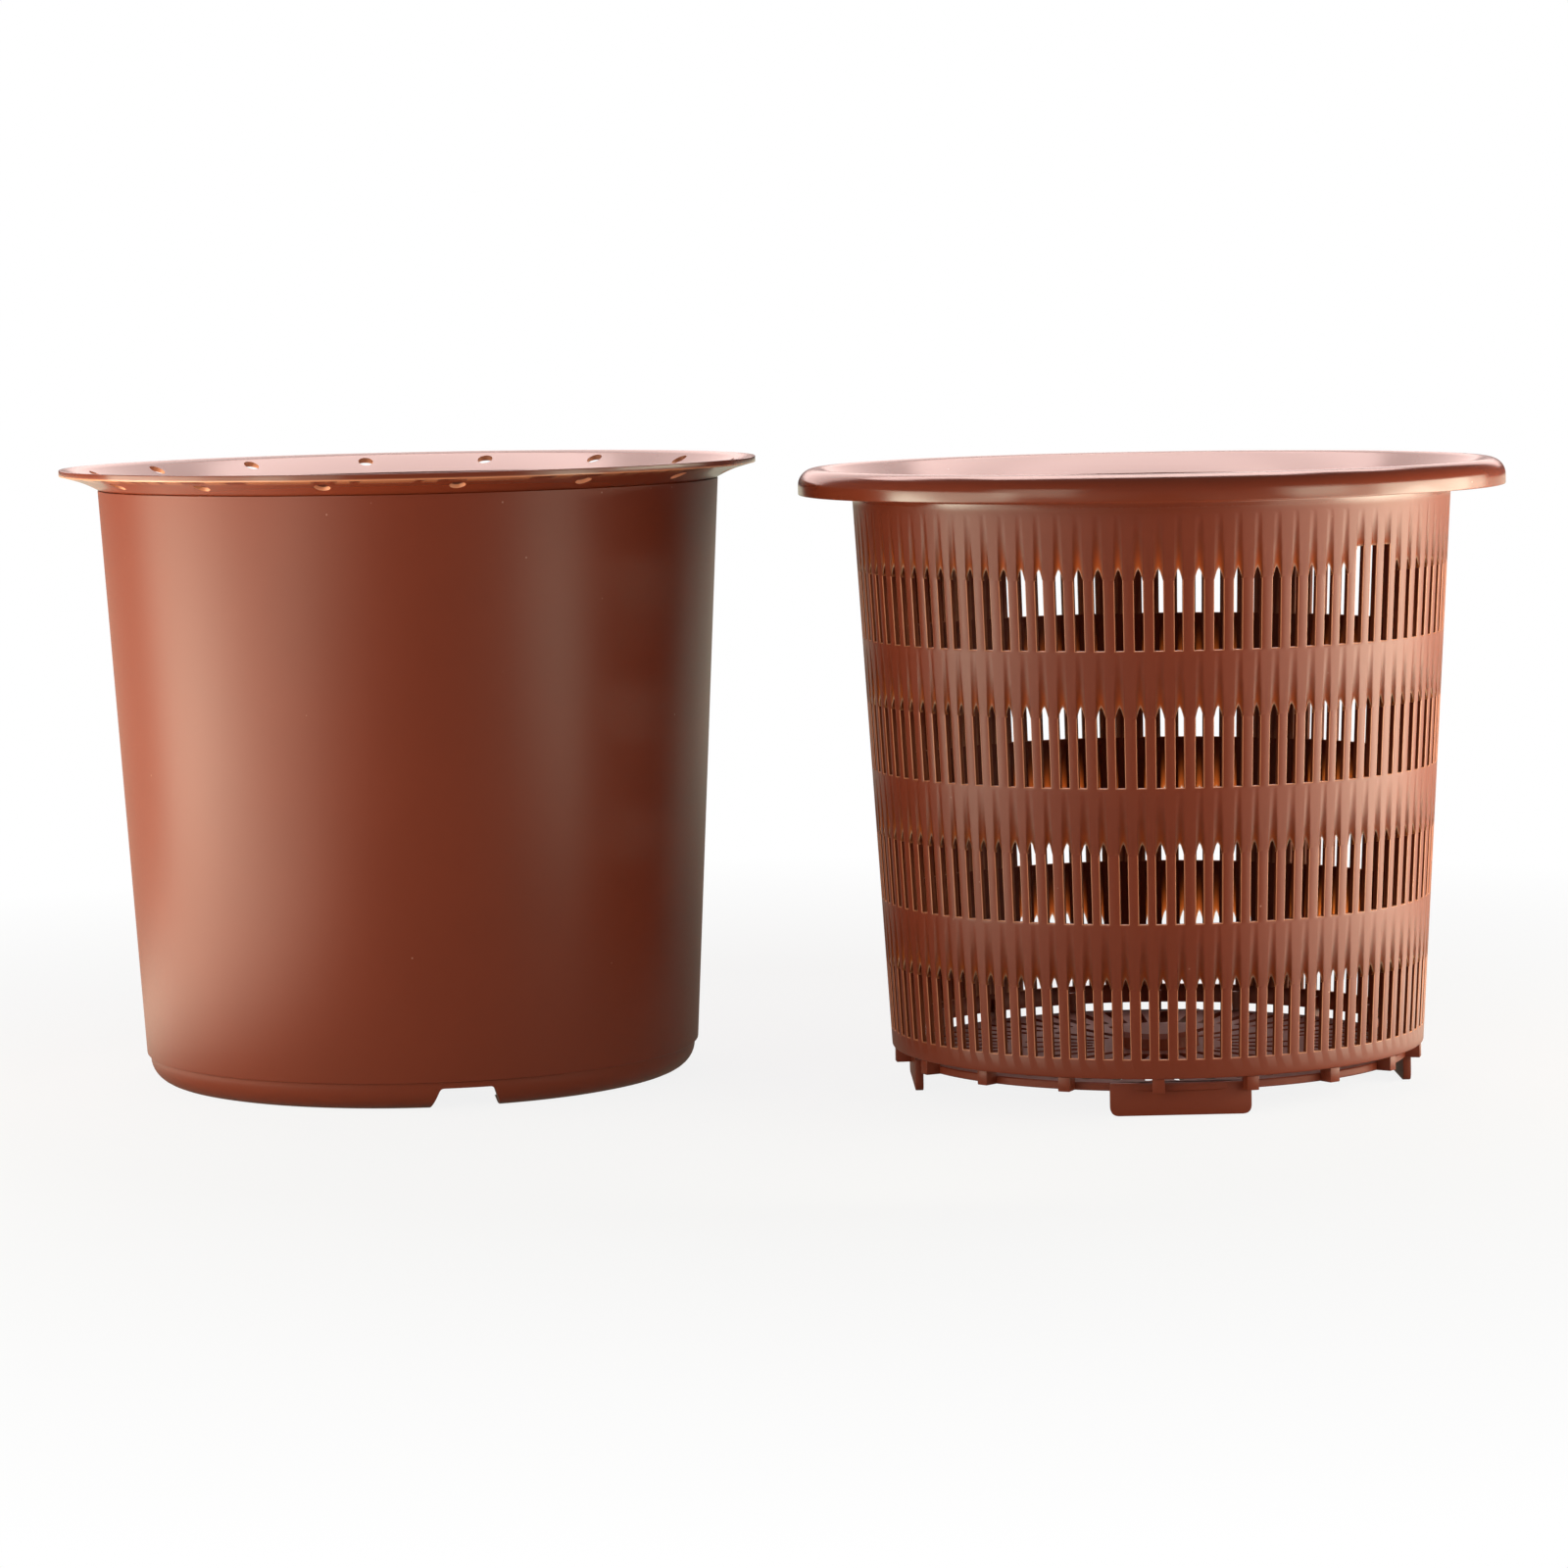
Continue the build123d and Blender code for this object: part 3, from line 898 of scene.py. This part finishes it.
            # The slot's upright sides take the inside's painted shade and less gloss; its sill and its arch
            # end in a pale edge, partly whitened plastic, partly painted light
            pale, dull = (0.0, 1.0) if c in (3, 9) else (1.0, 0.0)
            hole_low[c] = self.on_wall(OUTER, c, bottom, round_off, row, SILL_GLOW, pale, dull)
            depth = max(hollow(arch(share), share), round_off * abs(share) ** 3)
            hole_high[c] = self.on_wall(OUTER, c, arch(share), depth, row, pale, pale, dull)
        crest = [jambs[0], jambs[1], jambs[2], *hole_high.values(), jambs[10], jambs[11], jambs[12]]
        outer = [outer_row(height_of) for height_of in (over_arch(OUTER_BAND), *levels, level(top))]
        self.strip(below, sill)
        self.strip(sill[3:10], list(hole_low.values()))
        self.bm.faces.new((sill[2], sill[3], hole_low[3]))
        self.bm.faces.new((sill[9], sill[10], hole_low[9]))
        self.strip(sill[:3], crest[:3])
        self.strip(sill[10:], crest[10:])
        self.bm.faces.new((sill[2], hole_low[3], hole_high[3], jambs[2]))
        self.bm.faces.new((sill[10], jambs[10], hole_high[9], hole_low[9]))
        self.strips([crest, *outer])

        # Inner face: under the slot, up its sides, and the groove over the arch
        in_below = [self.on_wall(INNER, c, bottom - round_off, size.wall, row) for c in range(len(INNER))]
        low_marks = {"thin": SILL_GLOW, "edge": SILL_GLOW}
        in_low = [self.on_wall(INNER, c, bottom, size.wall, row, **low_marks) for c in range(len(INNER))]
        in_high = []
        for c, share in enumerate(INNER):
            if in_groove(share):
                depth = self.outside(arch(share)) - hypot(*hole_high[c + 1].co.xy) + size.tip_edge
                in_high.append(self.on_wall(INNER, c, arch(share) + 0.05 * MM, depth, row, 1.0, 1.0))
            else:
                in_high.append(self.on_wall(INNER, c, beside(share), size.wall, row))
        inner_levels = [over_arch(INNER_BAND), *levels, level(top - size.land)]
        inner = [inner_row(height_of) for height_of in inner_levels]
        in_end = [self.on_wall(INNER, c, top, size.wall, row) for c in range(len(INNER))]
        for low, high in zip([in_high, *inner], [*inner, in_end]):
            self.strip(high, low)
        self.strip(in_low, in_below)
        self.strip(in_high[:2], in_low[:2])
        self.strip(in_high[9:], in_low[9:])
        self.bm.faces.new((in_low[2], in_low[1], in_high[1]))
        self.bm.faces.new((in_low[9], in_low[8], in_high[9]))

        # Edge of the slot, from the outer face to the inner one
        self.strip(list(hole_low.values()), in_low[2:9])
        self.strip(list(hole_high.values())[::-1], in_high[8:1:-1])
        self.bm.faces.new((hole_low[9], hole_high[9], in_high[9], in_low[8]))
        self.bm.faces.new((in_high[9], hole_high[9], in_high[8]))
        self.bm.faces.new((hole_high[3], hole_low[3], in_low[2], in_high[1]))
        self.bm.faces.new((in_high[2], hole_high[3], in_high[1]))
        return below, outer[-1], in_below, in_end

    def build(self, name):
        """The whole slice: skirt, rows of slots, rolled rim and inner wall."""
        size = self.size
        rows = [self.slot_row(row) for row in range(size.rows)]
        for low, high in zip(rows, rows[1:]):
            self.strip(low[1], high[0])
            self.strip(high[2], low[3])

        # Skirt, from the inner wall round its lower edge to the outer wall
        foot = size.skirt_bottom
        skirt = eased(
            [
                (self.outside(foot + 2 * MM) - size.wall, foot + 2 * MM, 0),
                (self.outside(foot) - size.wall, foot, EASE),
                (self.outside(foot), foot, EASE),
                (self.outside(foot + 1.2 * MM), foot + 1.2 * MM, 0),
            ]
        )
        skirt = [self.ring(r, z, 0.0) for r, z in skirt]
        self.strips(skirt)
        self.fan(skirt[-1], rows[0][0], True)
        self.fan(skirt[0], rows[0][2], False)

        # Rim, from the outer wall under the lip, over the roll, to the funnel and the inner wall
        roll = (size.rim_radius - size.rim_round, size.lip_height + size.lip_drop)
        bend = size.rim_round - size.rim_wall
        turned = 90 + size.funnel * 180 / pi
        under = arc(roll, bend, turned, 0, 10)
        over = arc(roll, size.rim_round, 0, turned, 22)

        def foot_of(start, wall):
            reach = start[0] - (self.outside(start[1]) - wall)
            drop = reach * tan(size.funnel) / (1 - self.slope * tan(size.funnel))
            return (self.outside(start[1] - drop) - wall, start[1] - drop)

        collar, throat = foot_of(under[0], 0), foot_of(over[-1], size.wall)
        path = eased(
            [(self.outside(collar[1] - 2 * MM), collar[1] - 2 * MM, 0), (*collar, 0.6 * MM), (*under[0], 0)]
        )
        path += under[1:]
        path += eased(
            [
                (*under[-1], 0),
                (under[-1][0], size.lip_height, EASE),
                (size.rim_radius, size.lip_height, 0.35 * MM),
                (*over[0], 0),
            ]
        )[1:]
        path += over[1:]
        path += eased(
            [
                (*over[-1], 0),
                (*throat, 2.0 * MM),
                (self.outside(throat[1] - 2.5 * MM) - size.wall, throat[1] - 2.5 * MM, 0),
            ],
            5,
        )[1:]
        rim = [self.ring(r, z, 0.0 if i == 0 else 1.0) for i, (r, z) in enumerate(path)]
        self.strips(rim)
        self.fan(rim[0], rows[-1][1], False)
        self.fan(rim[-1], rows[-1][3], True)
        return from_bmesh(name, self.bm)


class ORCHID_OT_basket_wall(bpy.types.Operator):
    """Build the basket's fluted wall with its rows of slots and its rolled rim"""

    bl_idname = "orchid.basket_wall"
    bl_label = "Basket Wall"

    def execute(self, context):
        size = context.scene.orchid_basket
        plastic = moulded_polypropylene(context.scene.orchid_plastic)
        wall = ring_of(
            "basket_wall_slotted",
            WallSlice(size, False).build("wall_slice"),
            size.slots,
            size.slot_start,
            size.centre,
            plastic,
            WALL_CREASE,
            **{
                "Odd Part": WallSlice(size, True).build("tall_slice"),
                "Odd First": size.tall_first,
                "Odd Count": size.tall_count,
                "Wander": size.wander,
                "Seed": WANDER_SEED,
            },
        )
        hand_over(wall, "basket", "basket_wall")
        return {"FINISHED"}


def slot_outline(start, end, half_width):
    """The half of a round-ended slot on the left of the X axis, from its inner end to its outer end."""
    inner = [(start + half_width * (1 - cos(a)), -half_width * sin(a)) for a in (0, pi / 4, pi / 2)]
    outer = [(end - half_width * (1 - cos(a)), -half_width * sin(a)) for a in (pi / 2, pi / 4, 0)]
    return inner + outer


def grate_slice(name, size, number, inner_rows, outer_rows, slot_start, slot_end):
    """One slice of the grate on +X: a round-ended slot between plain rows, with both its faces.

    Rows are (radius, top height, bottom height); a row with no bottom height is on the top face alone.
    """
    bm = bmesh.new()
    half = pi / number

    def row(radius, height, steps):
        if radius < 1e-6:
            return [bm.verts.new((0, 0, height))] * (2 * steps + 1)
        angles = [half * k / steps for k in range(-steps, steps + 1)]
        return [bm.verts.new((radius * cos(a), radius * sin(a), height)) for a in angles]

    def face(points, up):
        corners = list(dict.fromkeys(points))
        if len(corners) > 2:
            bm.faces.new(corners if up else corners[::-1])

    def strips(rows, up):
        for low, high in zip(rows, rows[1:]):
            for i in range(len(low) - 1):
                face((low[i], high[i], high[i + 1], low[i + 1]), up)

    outline = slot_outline(slot_start, slot_end, size.slot_width / 2)
    loops = []
    for height, up in ((size.top, True), (size.bottom, False)):
        # An outer row has twice the steps of an inner one
        inner = [row(r, top if up else low, 1) for r, top, low in inner_rows if up or low is not None]
        outer = [row(r, top if up else low, 2) for r, top, low in outer_rows]
        strips(inner, up)
        strips(outer, up)
        left = [bm.verts.new((x, y, height)) for x, y in outline]
        right = [left[0], *[bm.verts.new((x, -y, height)) for x, y in outline[1:-1]], left[-1]]
        near, far = inner[-1], outer[0]
        middle = len(far) // 2
        face([near[0], *far[: middle + 1], *left[::-1], near[1]], up)
        face([near[1], *right, *far[middle:], near[2]], up)
        loops.append((left, right, outer[-1], inner[0]))
    (left, right, rim, hub), (low_left, low_right, low_rim, low_hub) = loops
    for upper, lower in ((left, low_left), (right[::-1], low_right[::-1])):
        for i in range(len(upper) - 1):
            bm.faces.new((upper[i], upper[i + 1], lower[i + 1], lower[i]))
    for i in range(len(rim) - 1):
        bm.faces.new((low_rim[i], low_rim[i + 1], rim[i + 1], rim[i]))
    if inner_rows[0][0] > 0:
        for i in range(len(hub) - 1):
            bm.faces.new((hub[i], hub[i + 1], low_hub[i + 1], low_hub[i]))
    return from_bmesh(name, bm)


class ORCHID_OT_basket_floor(bpy.types.Operator):
    """Build the basket's grated floor with its hub, the lugs that carry the wall, and the plate feet"""

    bl_idname = "orchid.basket_floor"
    bl_label = "Basket Floor"

    def execute(self, context):
        size = context.scene.orchid_floor
        centre = context.scene.orchid_basket.centre
        plastic = moulded_polypropylene(context.scene.orchid_plastic)
        top, bottom, half_bar = size.top, size.bottom, size.bar / 2
        inner = grate_slice(
            "inner_slice",
            size,
            size.inner_slots,
            [
                (0.0, size.hub_top, bottom),
                (size.hub_radius - size.hub_chamfer, size.hub_top, None),
                (size.hub_radius, size.hub_top - size.hub_chamfer, None),
                (size.hub_radius, top + EASE, None),
                (size.hub_radius + EASE, top, None),
                (size.inner_start - half_bar, top, bottom),
            ],
            [(size.middle, top, bottom)],
            size.inner_start,
            size.middle - half_bar,
        )
        outer = grate_slice(
            "outer_slice",
            size,
            size.outer_slots,
            [(size.middle, top, bottom)],
            [
                (size.radius - half_bar, top, bottom),
                (size.radius - EASE, top, bottom),
                (size.radius, top - EASE, bottom + EASE),
            ],
            size.middle + half_bar,
            size.radius - size.bar,
        )
        root = size.radius - 1.5 * MM
        skirt = context.scene.orchid_basket.skirt_bottom
        behind = size.tongue_face - size.tongue_wall
        lug = prism(
            "lug",
            [
                (root, bottom),
                (size.lug_face, bottom),
                (size.lug_face, skirt),
                (size.tongue_face, skirt),
                (size.tongue_face, size.tongue_top),
                (behind, size.tongue_top),
                (behind, top),
                (root, top),
            ],
            size.lug_width,
            0.18 * MM,
        )

        half = size.foot_width / 2
        outline = eased(
            [(half, top, 0), (half, 0, size.foot_round), (-half, 0, size.foot_round), (-half, top, 0)],
            8,
        )
        foot = prism("plate_foot", outline, size.foot_wall, 0.25 * MM)
        out = Matrix.Translation((size.foot_face - size.foot_wall / 2, 0, 0))
        foot.data.transform(out @ Matrix.Rotation(pi / 2, 4, "Z"))

        rings = (
            ("grate_inner", inner, size.inner_slots, 0.0),
            ("grate_outer", outer, size.outer_slots, 0.0),
            ("floor_lugs", lug, size.lug_count, size.lug_start),
            ("floor_feet", foot, size.foot_count, size.foot_start),
        )
        for name, part, number, start in rings:
            ring = ring_of(name, part, number, start, centre, plastic, FLOOR_CREASE)
            hand_over(ring, "basket", "basket_floor")
        return {"FINISHED"}


def white_paper(look):
    """White paper, matt, with painted light: it glows beside the pots and in the plastic's reflections,
    lights the pots from below and shows as white, with the pots' faint shadow.
    """
    material = bpy.data.materials.new("white_paper")
    tree = cleared(material)
    path = node(tree, "ShaderNodeLightPath").outputs
    by_camera = path["Is Camera Ray"]
    spot = node(tree, "ShaderNodeTexCoord").outputs["Object"]
    along = node(tree, "ShaderNodeSeparateXYZ", {"Vector": spot}).outputs

    # Seen by the camera: plain white far off, and some of the real paper near the pots, for their shadow
    away = node(tree, "ShaderNodeVectorMath", {0: spot}, operation="LENGTH").outputs["Value"]
    seen = node(
        tree,
        "ShaderNodeMapRange",
        {"Value": away, "From Min": 0.2, "From Max": 0.5, "To Min": 0.86, "To Max": 1.0},
    )

    # Seen by the plastic: painted light, a glow beside the pots that stands for the side lamps falling on
    # the paper, dimmer in front of them
    behind = node(
        tree,
        "ShaderNodeMapRange",
        {"Value": along["Y"], "From Min": -0.3, "From Max": 0.8, "To Min": 0.08, "To Max": 0.6},
    )
    aside = node(tree, "ShaderNodeMath", {0: along["X"]}, operation="ABSOLUTE")
    beside = node(
        tree,
        "ShaderNodeMapRange",
        {"Value": aside, "From Min": 0.15, "From Max": 0.27},
        interpolation_type="SMOOTHSTEP",
    )
    off_lamp = node(tree, "ShaderNodeMath", {0: along["Y"], 1: 0.08}, operation="ADD")
    off_lamp = node(tree, "ShaderNodeMath", {0: off_lamp}, operation="ABSOLUTE")
    fading = node(
        tree,
        "ShaderNodeMapRange",
        {"Value": off_lamp, "From Min": 0.05, "From Max": 0.28, "To Min": 1.0, "To Max": 0.05},
        interpolation_type="SMOOTHSTEP",
    )
    side = node(tree, "ShaderNodeMath", {0: beside, 1: fading}, operation="MULTIPLY")
    painted_glow_level = node(tree, "ShaderNodeMath", {0: side, 1: 5.0, 2: behind}, operation="MULTIPLY_ADD")
    rays = {0: path["Is Glossy Ray"], 1: path["Is Transmission Ray"]}
    mirrored = node(tree, "ShaderNodeMath", rays, operation="MAXIMUM")
    # Painted light: reflections see the glow everywhere, diffuse light takes it only beside the pots
    lit = node(tree, "ShaderNodeMath", {0: mirrored, 1: side}, operation="MAXIMUM")
    share = node(tree, "ShaderNodeMix", {"Factor": by_camera, "A": lit, "B": seen}, data_type="FLOAT")
    level = node(tree, "ShaderNodeMix", {"Factor": by_camera, "A": painted_glow_level, "B": 1.0}, data_type="FLOAT")
    paper = node(tree, "ShaderNodeBsdfDiffuse", {"Color": look.paper})
    colours = {"Factor": by_camera, "A": look.lamp, "B": (1, 1, 1, 1)}
    tint = node(tree, "ShaderNodeMix", colours, data_type="RGBA")
    white = node(tree, "ShaderNodeEmission", {"Color": tint, "Strength": level})
    mixed = node(tree, "ShaderNodeMixShader", {0: share, 1: paper, 2: white})
    node(tree, "ShaderNodeOutputMaterial", {"Surface": mixed})
    return material


# Soft lamps: name, place, the point faced, width and height, all in metres; watts, colour, and use
LAMPS = (
    ("left_box", (-0.45, -0.05, 0.103), (0.0, -0.05, 0.103), (0.26, 0.195), 0.83, "lamp", "both"),
    ("left_wide_box", (-0.46, -0.36, 0.103), (0.0, -0.36, 0.103), (0.36, 0.195), 0.75, "lamp", "both"),
    ("fill_box", (0.03, -0.2, 0.1), (0.05, 0.0, 0.1), (0.08, 0.16), 0.024, "lamp", "lights"),
    ("right_box", (0.46, -0.05, 0.103), (0.0, -0.05, 0.103), (0.28, 0.195), 0.8, "lamp", "both"),
    ("right_wide_box", (0.47, -0.15, 0.103), (0.0, -0.15, 0.103), (0.7, 0.195), 1.2, "lamp", "both"),
    ("front_box", (-0.6, -0.8, 0.3), (0.0, 0.0, 0.1), (0.5, 0.5), 1.5, "lamp", "both"),
    ("front_right_box", (0.8, -0.7, 0.2), (-0.05, 0.0, 0.08), (0.4, 0.4), 0.9, "lamp", "both"),
    ("top_box", (0.1, 0.44, 1.15), (0.1, 0.44, 0.15), (0.8, 0.36), 9, "overhead", "shines"),
    ("top_back_box", (0.0, 0.92, 1.15), (0.0, 0.92, 0.15), (1.5, 0.6), 20, "overhead", "shines"),
    ("back_panel", (-0.1, 1.22, 0.7), (-0.1, 0.0, 0.7), (1.7, 0.8), 10, "overhead", "shines"),
    ("back_box", (-0.1, 1.22, 0.7), (-0.1, 0.0, 0.7), (1.7, 0.8), 20, "overhead", "lights"),
)


def soft_box(name, spot, aim, extent, watts, colour, use):
    """A large soft lamp that faces a point: it lights the pots, shines back from their gloss, or both."""
    lamp = bpy.data.lights.new(name, "AREA")
    lamp.color = colour[:3]
    lamp.shape = "RECTANGLE"
    lamp.size, lamp.size_y = extent
    lamp.energy = watts
    made = link_object(name, lamp)
    made.location = spot
    made.rotation_euler = (Vector(aim) - Vector(spot)).to_track_quat("-Z", "Y").to_euler()
    made.visible_camera = False
    made.visible_diffuse = use != "shines"
    made.visible_glossy = use != "lights"


class ORCHID_OT_stage(bpy.types.Operator):
    """Set the white floor, the studio lamps and the camera"""

    bl_idname = "orchid.stage"
    bl_label = "Stage"

    def execute(self, context):
        look = context.scene.orchid_stage
        scene = context.scene
        scene.view_settings.view_transform = "Standard"

        mesh = bpy.data.meshes.new("paper_floor")
        reach = 6.0
        corners = [(-reach, -reach, 0), (reach, -reach, 0), (reach, reach, 0), (-reach, reach, 0)]
        mesh.from_pydata(corners, [], [(0, 1, 2, 3)])
        floor = link_object("paper_floor", mesh)
        floor.location.z = -0.02 * MM
        floor.data.materials.append(white_paper(look))

        # A pale room, seen as plain white by the camera
        world = bpy.data.worlds.new("studio")
        scene.world = world
        tree = cleared(world)
        path = node(tree, "ShaderNodeLightPath").outputs
        sight = node(tree, "ShaderNodeTexCoord").outputs["Generated"]
        way = node(tree, "ShaderNodeSeparateXYZ", {"Vector": sight})
        dim = node(
            tree,
            "ShaderNodeMapRange",
            {"Value": way.outputs["Z"], "From Min": 0.1, "From Max": 0.6, "To Min": 0.4, "To Max": 0.04},
        )
        mirrored = {"Factor": path["Is Glossy Ray"], "A": dim, "B": 0.1}
        dim = node(tree, "ShaderNodeMix", mirrored, data_type="FLOAT")
        level = node(tree, "ShaderNodeMath", {0: path["Is Camera Ray"], 1: dim}, operation="MAXIMUM")
        sky = node(tree, "ShaderNodeBackground", {"Color": (1, 1, 1, 1), "Strength": level})
        node(tree, "ShaderNodeOutputWorld", {"Surface": sky})

        for name, spot, aim, extent, watts, colour, use in LAMPS:
            soft_box(name, spot, aim, extent, watts, getattr(look, colour), use)

        camera = bpy.data.cameras.new("camera")
        camera.lens = look.lens
        camera.sensor_width = 36
        made = link_object("camera", camera)
        tilt = Matrix.Rotation(pi / 2 - look.down, 4, "X") @ Matrix.Rotation(look.roll, 4, "Z")
        aside = Matrix.Rotation(look.aside, 4, "Z")
        made.matrix_world = Matrix.Translation(look.camera) @ aside @ tilt
        scene.camera = made
        return {"FINISHED"}


class ORCHID_PT_panel(bpy.types.Panel):
    """Sizes, colours and build steps of the orchid pot"""

    bl_label = "Orchid Pot"
    bl_idname = "ORCHID_PT_panel"
    bl_space_type = "VIEW_3D"
    bl_region_type = "UI"
    bl_category = "Orchid Pot"

    def draw(self, context):
        for step in STEPS:
            self.layout.operator(step)
        for group in GROUPS:
            values = getattr(context.scene, group)
            box = self.layout.box()
            for name in values.__annotations__:
                box.prop(values, name)


STEPS = ("orchid.outer_pot", "orchid.basket_wall", "orchid.basket_floor", "orchid.stage")
GROUPS = {
    "orchid_outer_pot": OuterPotSizes,
    "orchid_basket": BasketSizes,
    "orchid_floor": FloorSizes,
    "orchid_plastic": PlasticLook,
    "orchid_stage": StageLook,
}
CLASSES = (
    *GROUPS.values(),
    ORCHID_OT_outer_pot,
    ORCHID_OT_basket_wall,
    ORCHID_OT_basket_floor,
    ORCHID_OT_stage,
    ORCHID_PT_panel,
)


def register():
    """Adds the classes and the scene's settings."""
    for made in CLASSES:
        bpy.utils.register_class(made)
    for name, group in GROUPS.items():
        setattr(bpy.types.Scene, name, PointerProperty(type=group))


def unregister():
    """Takes the settings and classes away again."""
    for name in GROUPS:
        delattr(bpy.types.Scene, name)
    for made in reversed(CLASSES):
        bpy.utils.unregister_class(made)


def main():
    """Builds every piece and the stage."""
    register()
    bpy.ops.orchid.outer_pot()
    bpy.ops.orchid.basket_wall()
    bpy.ops.orchid.basket_floor()
    bpy.ops.orchid.stage()


if __name__ == "__main__":
    main()
